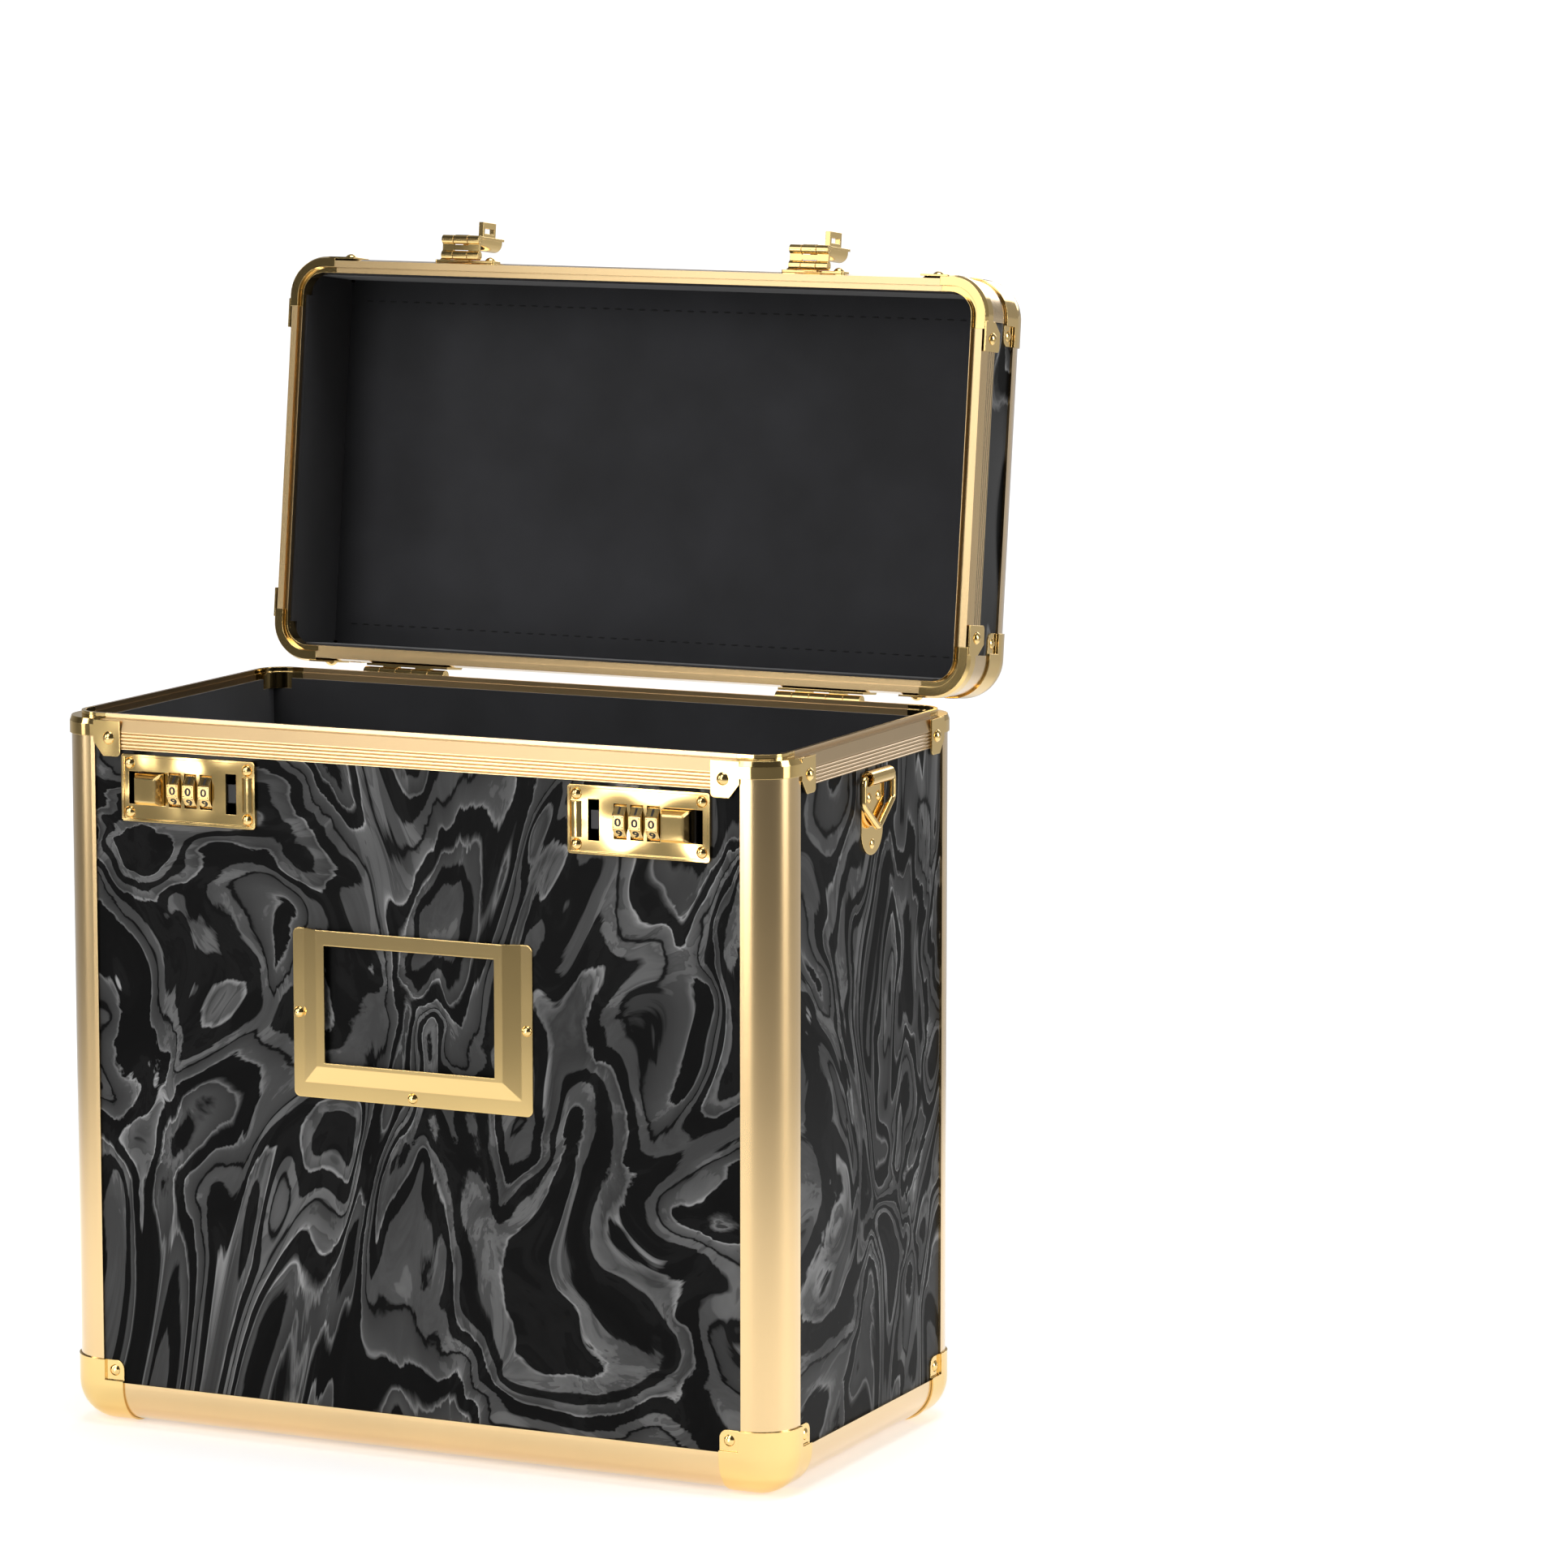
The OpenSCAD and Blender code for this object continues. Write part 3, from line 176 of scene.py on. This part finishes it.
def metal(name, colour, rough, swell, edge=0.0, lacquer=0.0):
    """Plated or anodised metal.

    rough is its middle roughness, swell the height of the waves in a pressed plate, edge the
    radius of its corners, and lacquer the weight of its clear coat.
    """
    look = Look(name, Metallic=1.0, Coat_Weight=lacquer, Coat_Roughness=LACQUER_ROUGH)
    grain = look.noise(scale=1400.0)
    clouds = look.noise(scale=9.0, detail=3.0)
    waves = look.noise(scale=30.0, detail=1.0)
    look.tint(clouds, shade(colour, 0.93), colour, limits=(0.35, 0.65))
    worn = look.math("MULTIPLY", grain, clouds)
    look.link(look.span(worn, low=0.93 * rough, high=1.12 * rough), "Roughness")
    rounded = None
    if edge:
        rounded = look.add("Bevel", {"Radius": edge}, samples=BEVEL_SAMPLES).outputs["Normal"]
    look.bump(waves, distance=swell, strength=0.6, normal=rounded)
    return look.material


BLACK, DARK, GREY, LINE = 0.0048, 0.045, 0.074, 0.19
MARBLE_BANDS = [
    (0.000, BLACK), (0.320, BLACK), (0.323, LINE), (0.328, GREY), (0.376, GREY), (0.379, BLACK),
    (0.416, BLACK), (0.419, GREY), (0.446, DARK), (0.449, LINE), (0.453, GREY), (0.459, BLACK),
    (0.497, BLACK), (0.500, LINE), (0.505, GREY), (0.535, DARK), (0.538, BLACK), (0.544, BLACK),
    (0.547, GREY), (0.571, GREY), (0.574, BLACK), (0.611, BLACK), (0.614, LINE), (0.619, DARK),
    (0.652, GREY), (0.655, BLACK), (0.695, BLACK), (0.698, GREY), (0.742, GREY), (0.745, LINE),
    (0.750, BLACK), (0.830, BLACK),
]
MARBLE_PATCHES = [
    (0.40, 0.72), (0.48, 0.9), (0.525, 1.0), (0.537, 1.55), (0.60, 1.95), (0.61, 1.1), (0.66, 1.7),
]
MARBLE_DRAWN_OUT = (1.0, 1.0, 0.6)      # less than 1 makes the bands longer along that axis
MARBLE_RAGGED = 0.10                    # how far the clouds break up the bands' edges


def marbled_laminate():
    """Smooth laminate in stirred black and grey bands with ragged, lit edges and lighter patches."""
    look = Look("marbled_laminate", Roughness=0.33, IOR=1.11)
    drawn = look.add("Mapping", {"Vector": look.place, "Scale": MARBLE_DRAWN_OUT})
    broad = look.warp(drawn.outputs["Vector"], scale=3.4, amount=0.46)
    stirred = look.warp(broad, scale=8.5, amount=0.19)
    fine = look.warp(stirred, scale=24.0, amount=0.03)
    bands = look.noise(scale=9.0, detail=1.6, roughness=0.38, place=fine)
    clouds = look.noise(scale=17.0, detail=5.0, roughness=0.62, distortion=0.8, place=fine)
    ragged = look.math("MULTIPLY_ADD", clouds, MARBLE_RAGGED, bands)
    tones = look.ramp(ragged, MARBLE_BANDS)
    look.link(look.multiply(tones, look.ramp(clouds, MARBLE_PATCHES)), "Base Color")
    look.bump(look.noise(scale=700.0), distance=0.01 * MM, strength=0.4)
    return look.material


def lining_cloth():
    """Matt black lining with a fine weave and a soft nap."""
    look = Look("lining_cloth", Roughness=0.85, Sheen_Weight=0.25, Sheen_Roughness=0.5)
    weave = look.noise(scale=1500.0)
    nap = look.noise(scale=22.0, detail=3.0)
    look.tint(nap, CLOTH, shade(CLOTH, 1.9), limits=(0.3, 0.7))
    look.bump(weave, distance=0.06 * MM, strength=0.6)
    return look.material


def soft_rubber():
    """The grip's dull rubber, a little grained and cloudy."""
    look = Look("grip_rubber", Roughness=0.55)
    grain = look.noise(scale=900.0, detail=3.0)
    clouds = look.noise(scale=30.0)
    look.tint(clouds, RUBBER, shade(RUBBER, 1.6), limits=(0.3, 0.7))
    look.link(look.span(grain, low=0.45, high=0.65), "Roughness")
    look.bump(grain, distance=0.03 * MM, strength=0.6)
    return look.material


def plain_look(name, colour, rough):
    """Ink or thread: one colour with a fine grain."""
    look = Look(name)
    grain = look.noise(scale=1200.0)
    look.tint(grain, shade(colour, 0.8), colour, limits=(0.35, 0.65))
    look.link(look.span(grain, low=0.85 * rough, high=1.15 * rough), "Roughness")
    return look.material


LAMINATE = marbled_laminate()
LINING = lining_cloth()
SATIN = metal("satin_gold", GOLD_SATIN, 0.23, swell=0.02 * MM, lacquer=1.0)
# the rim rails: the posts' satin gold, rougher, with its colour darkened as painted shade
RAIL_PAINTED_SHADE = metal("rail_gold_painted_shade", GOLD_RAIL_PAINTED_SHADE, 0.30, swell=0.02 * MM, lacquer=1.0)
BRIGHT = metal("bright_gold", GOLD_BRIGHT, 0.10, swell=0.7 * MM, edge=0.4 * MM)
PRESSED = metal("pressed_gold", GOLD_BRIGHT, 0.08, swell=0.1 * MM, edge=0.6 * MM, lacquer=0.4)
PLATE = metal("plate_gold", GOLD_BRIGHT, 0.09, swell=2.0 * MM, edge=0.4 * MM)
BUTTON = metal("button_gold", GOLD_BRIGHT, 0.10, swell=3.0 * MM, edge=1.6 * MM)
WHEEL = metal("wheel_gold", GOLD_BRIGHT, 0.14, swell=0.05 * MM, edge=0.3 * MM)
ZINC = metal("zinc_steel", STEEL, 0.35, swell=0.05 * MM, edge=0.2 * MM)
GRIP = soft_rubber()
DIGIT_INK = plain_look("digit_ink", INK, 0.5)
# the stitches: black thread, darker than the cloth by painted shade of their holes
STITCH_AND_HOLE_SHADE = plain_look("stitch_thread_and_hole_shade", THREAD_AND_HOLE_SHADE, 0.8)

SLOT_LOOKS = {
    "marbled_board": LAMINATE,
    "lining_cloth": LINING,
    "gold_aluminium": SATIN,
    "polished_gold": BRIGHT,
    "wheel_gold": WHEEL,
    "zinc_steel": ZINC,
    "grip_rubber": GRIP,
}
NODE_LOOKS = {
    "card_holder": PRESSED,
    "base_rim_rails": RAIL_PAINTED_SHADE,
    "lock_plate_left": PLATE,
    "lock_plate_right": PLATE,
    "lock_button_left": BUTTON,
    "lock_button_right": BUTTON,
}


def dress_cad():
    """Gives every CAD node its own look, or else that of its material slot."""
    for part in frame["record"]["subparts"]:
        look = NODE_LOOKS.get(part["node"], SLOT_LOOKS[part["material_slot"]])
        for slot in frame["nodes"][part["node"]].material_slots:
            slot.link = "OBJECT"
            slot.material = look


# -------------------------------------------------------------------- pieces
def add_object(name, data):
    """A new object in the scene that holds the data."""
    made = bpy.data.objects.new(name, data)
    bpy.context.scene.collection.objects.link(made)
    return made


def piece(name, mesh, body, look):
    """A new piece of the case, which moves with a body."""
    mesh.materials.append(look)
    made = add_object(name, mesh)
    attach(made, body)


def mesh_of(form, name):
    """The finished form as a mesh."""
    mesh = bpy.data.meshes.new(name)
    form.to_mesh(mesh)
    form.free()
    return mesh


def box_of(points):
    """The lowest and the highest corner of the points' box."""
    low = Vector([min(point[axis] for point in points) for axis in range(3)])
    high = Vector([max(point[axis] for point in points) for axis in range(3)])
    return low, high


WHEEL_SIDES = 10
DIGIT_SIZE = 4.9 * MM
DIGIT_BOLD = 0.16 * MM
DIGIT_WIDEN = 1.3
DIGIT_DEPTH = 0.1 * MM
DIGIT_STEPS = 6                         # steps of each bend in its outline
BORDER_OUT = (4.9 * MM, 5.0 * MM)       # width and height of its outer edge
BORDER_WIDTH = 0.45 * MM
BORDER_DEPTH = 0.12 * MM


def digit_mesh(number):
    """A bold, wide digit, flat in the XY plane and centred."""
    curve = bpy.data.curves.new("digit", "FONT")
    curve.body = str(number)
    curve.size = DIGIT_SIZE
    curve.extrude = DIGIT_DEPTH / 2
    curve.offset = DIGIT_BOLD
    curve.align_x, curve.align_y = "CENTER", "CENTER"
    curve.resolution_u = DIGIT_STEPS
    holder = add_object("digit", curve)
    bpy.context.view_layer.update()
    drawn = holder.evaluated_get(bpy.context.evaluated_depsgraph_get())
    mesh = bpy.data.meshes.new_from_object(drawn)
    bpy.data.objects.remove(holder)
    low, high = box_of([corner.co for corner in mesh.vertices])
    centred = Matrix.Translation(-(low + high) / 2)
    mesh.transform(Matrix.Scale(DIGIT_WIDEN, 4, (1, 0, 0)) @ centred)
    return mesh


def border_mesh():
    """The raised border round one number, in the XY plane."""
    form = bmesh.new()
    width, height = BORDER_OUT
    for side in (-1, 1):
        for size, place in (
            ((width, BORDER_WIDTH), (0, side * (height - BORDER_WIDTH) / 2)),
            ((BORDER_WIDTH, height), (side * (width - BORDER_WIDTH) / 2, 0)),
        ):
            at = Matrix.Translation((*place, 0)) @ Matrix.Diagonal((*size, BORDER_DEPTH, 1))
            bmesh.ops.create_cube(form, size=1, matrix=at)
    return mesh_of(form, "border")


def ring_of(meshes, node):
    """One mesh with a form on each flat of a lock wheel, from the front one upwards."""
    low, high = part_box(node)
    centre = Matrix.Translation((low + high) / 2)
    out = Matrix.Translation((0, -(high - low).y / 2, 0))   # flats face the front and the back
    upright = Matrix.Rotation(math.pi / 2, 4, "X")
    form = bmesh.new()
    for number, mesh in enumerate(meshes):
        turn = Matrix.Rotation(-2 * math.pi * number / WHEEL_SIDES, 4, "X")
        copy = mesh.copy()
        copy.transform(centre @ turn @ out @ upright)
        form.from_mesh(copy)
        bpy.data.meshes.remove(copy)
    return mesh_of(form, node + "_ring")


def number_wheels():
    """The numbers 0 to 9 and their borders on the three wheels of each lock."""
    digits = [digit_mesh(number) for number in range(WHEEL_SIDES)]
    border = border_mesh()
    for side in ("left", "right"):
        for place in (1, 2, 3):
            node, body = f"number_wheel_{side}_{place}", f"wheel_{side}_{place}"
            borders = ring_of([border] * WHEEL_SIDES, node)
            piece(node + "_digits", ring_of(digits, node), body, DIGIT_INK)
            piece(node + "_borders", borders, body, WHEEL)
    for mesh in (*digits, border):
        bpy.data.meshes.remove(mesh)


STITCH_LENGTH, STITCH_WIDTH, STITCH_HEIGHT = 4.0 * MM, 0.9 * MM, 0.6 * MM
STITCH_PITCH = 6.5 * MM
STITCH_FROM_WALL = 10.0 * MM
LINING_BOARD = 1.0 * MM                 # thickness of the lining


def stitched_seams():
    """Rows of stitches that hold the lining to the lid's board, along its two long sides."""
    joints = frame["record"]["behaviour"]["joints"]
    hinge = next(joint for joint in joints if joint["name"] == "lid_hinge")
    pivot = Matrix.Translation(hinge["pos_m"])
    opened = math.radians(hinge["range_deg"][0])
    swing = pivot @ Matrix.Rotation(opened, 4, "X") @ pivot.inverted()  # from shut to rest
    lining = frame["nodes"]["lid_lining"].data
    low, high = box_of([swing.inverted() @ corner.co for corner in lining.vertices])
    inset = LINING_BOARD + STITCH_FROM_WALL
    count = int((high.x - low.x - 2 * inset) / STITCH_PITCH)
    size = Matrix.Diagonal((STITCH_LENGTH / 2, STITCH_WIDTH / 2, STITCH_HEIGHT / 2, 1))
    form = bmesh.new()
    for side in (low.y + inset, high.y - inset):
        for step in range(count + 1):
            place = ((step - count / 2) * STITCH_PITCH, side, high.z - LINING_BOARD)
            at = swing @ Matrix.Translation(place) @ size
            bmesh.ops.create_uvsphere(form, u_segments=10, v_segments=6, radius=1, matrix=at)
    mesh = mesh_of(form, "lid_stitches")
    mesh.shade_smooth()
    # the stitches' dark colour is partly black thread, partly painted shade of their holes
    piece("lid_stitches", mesh, "lid", STITCH_AND_HOLE_SHADE)


# --------------------------------------------------------------------- floor
FLOOR_SIZE = 200.0
NEAR_GLOW, FAR_GLOW, GLOW_REACH = 0.32, 1.0, 1.6    # strength at the case and from the reach on
NEAR_START, NEAR_END = 0.6, 1.1         # mirrors lose the glow over this stretch of reach,
BEHIND_START, BEHIND_END = -0.5, 1.5    # and get back a share of it over this stretch of Y
BEHIND_GLOW = 0.35


def glow_rays(look, reach):
    """1 for a camera ray; mirror and glass rays count near the case and, in part, behind it."""
    rays = look.add("LightPath").outputs
    depth = look.add("SeparateXYZ", {"Vector": look.place}).outputs["Y"]
    behind = look.span(depth, 0.0, BEHIND_GLOW, start=BEHIND_START, end=BEHIND_END)
    near = look.span(reach, 1.0, 0.0, start=NEAR_START, end=NEAR_END)
    mirror = look.math("MAXIMUM", rays["Is Glossy Ray"], rays["Is Transmission Ray"])
    shown = look.math("MULTIPLY", mirror, look.math("MAXIMUM", behind, near))
    return look.math("MAXIMUM", rays["Is Camera Ray"], shown)


def floor():
    """A wide sheet of pale paper that glows to the camera, less so close to the case."""
    look = Look("floor_paper", Roughness=0.9, Emission_Color=WHITE)
    grain = look.noise(scale=40.0, detail=3.0)
    look.tint(grain, shade(FLOOR, 0.985), FLOOR, limits=(0.3, 0.7))
    reach = look.add("VectorMath", {0: look.place}, operation="LENGTH").outputs["Value"]
    glow = look.span(reach, NEAR_GLOW, FAR_GLOW, end=GLOW_REACH)
    look.link(look.math("MULTIPLY", glow_rays(look, reach), glow), "Emission Strength")
    mesh = bpy.data.meshes.new("floor")
    half = FLOOR_SIZE / 2
    corners = [(-half, -half, 0), (half, -half, 0), (half, half, 0), (-half, half, 0)]
    mesh.from_pydata(corners, [], [(0, 1, 2, 3)])
    mesh.materials.append(look.material)
    made = add_object("floor", mesh)


# -------------------------------------------------------------------- lights
MIDDLE = (0, 0, 0.25)                   # of the case, where the lamps point
LAMP_SPREAD = 60                        # degrees
ROOM_FRONT, ROOM_BACK = 0.06, 0.35      # the room is dim in front and lighter behind
ROOM_START, ROOM_END = -0.2, 0.8        # as a ray's direction goes from this Y to that


def softbox(name, place, size, power, aim=MIDDLE, spread=LAMP_SPREAD):
    """A rectangular lamp; it points at its aim."""
    light = bpy.data.lights.new(name, "AREA")
    light.shape = "RECTANGLE"
    light.size, light.size_y = size
    light.energy = power
    light.spread = math.radians(spread)
    lamp = add_object(name, light)
    lamp.location = place
    lamp.rotation_euler = (Vector(aim) - Vector(place)).to_track_quat("-Z", "Y").to_euler()


def lights():
    """Soft boxes round the case; the low key gives the posts and plates their bright streaks."""
    softbox("key_low", (-0.45, -1.6, 0.19), size=(1.0, 0.22), power=0.87, aim=(0, 0, 0.17))
    softbox("key_high", (-0.45, -1.6, 1.05), size=(1.0, 1.0), power=1.2)
    softbox("side_right", (1.7, 0.1, 0.72), size=(0.6, 1.4), power=2.3)
    softbox("side_left", (-1.5, -1.1, 0.72), size=(0.4, 1.4), power=1.1)
    softbox("front_top", (-0.5, -1.9, 2.3), size=(1.6, 1.0), power=1.2, spread=50)
    softbox("top", (0.2, 0.1, 2.8), size=(1.6, 1.6), power=4.6)
    softbox("back", (-0.1, 1.9, 1.1), size=(1.3, 1.0), power=1.8)


def world():
    """A world that is white to the camera and a dim room to everything else."""
    made = bpy.data.worlds.new("studio")
    made.use_nodes = True
    bpy.context.scene.world = made
    room = Nodes(made.node_tree, "Background")
    direction = room.add("TexCoord").outputs["Generated"]
    depth = room.add("SeparateXYZ", {"Vector": direction}).outputs["Y"]
    dim = room.span(depth, ROOM_FRONT, ROOM_BACK, start=ROOM_START, end=ROOM_END)
    camera_ray = room.add("LightPath").outputs["Is Camera Ray"]
    room.link(room.span(camera_ray, dim, 1.0), "Strength")
    room.shader.inputs["Color"].default_value = WHITE


# -------------------------------------------------------------------- camera
CAMERA_PLACE = (1.351, -2.586, 0.719)
CAMERA_YAW = math.radians(25.1)
CAMERA_PITCH = math.radians(8.2)
LENS, SENSOR = 146.3, 36.0              # millimetres, as Blender counts them
CLIP_START, CLIP_END = 0.05, 100.0


def camera():
    """The photograph's view."""
    data = bpy.data.cameras.new("camera")
    data.lens, data.sensor_width = LENS, SENSOR
    data.clip_start, data.clip_end = CLIP_START, CLIP_END
    made = add_object("camera", data)
    made.location = CAMERA_PLACE
    made.rotation_euler = (math.pi / 2 - CAMERA_PITCH, 0, CAMERA_YAW)
    bpy.context.scene.camera = made


dress_cad()
number_wheels()
stitched_seams()
floor()
world()
lights()
camera()
bpy.context.scene.view_settings.view_transform = "Standard"
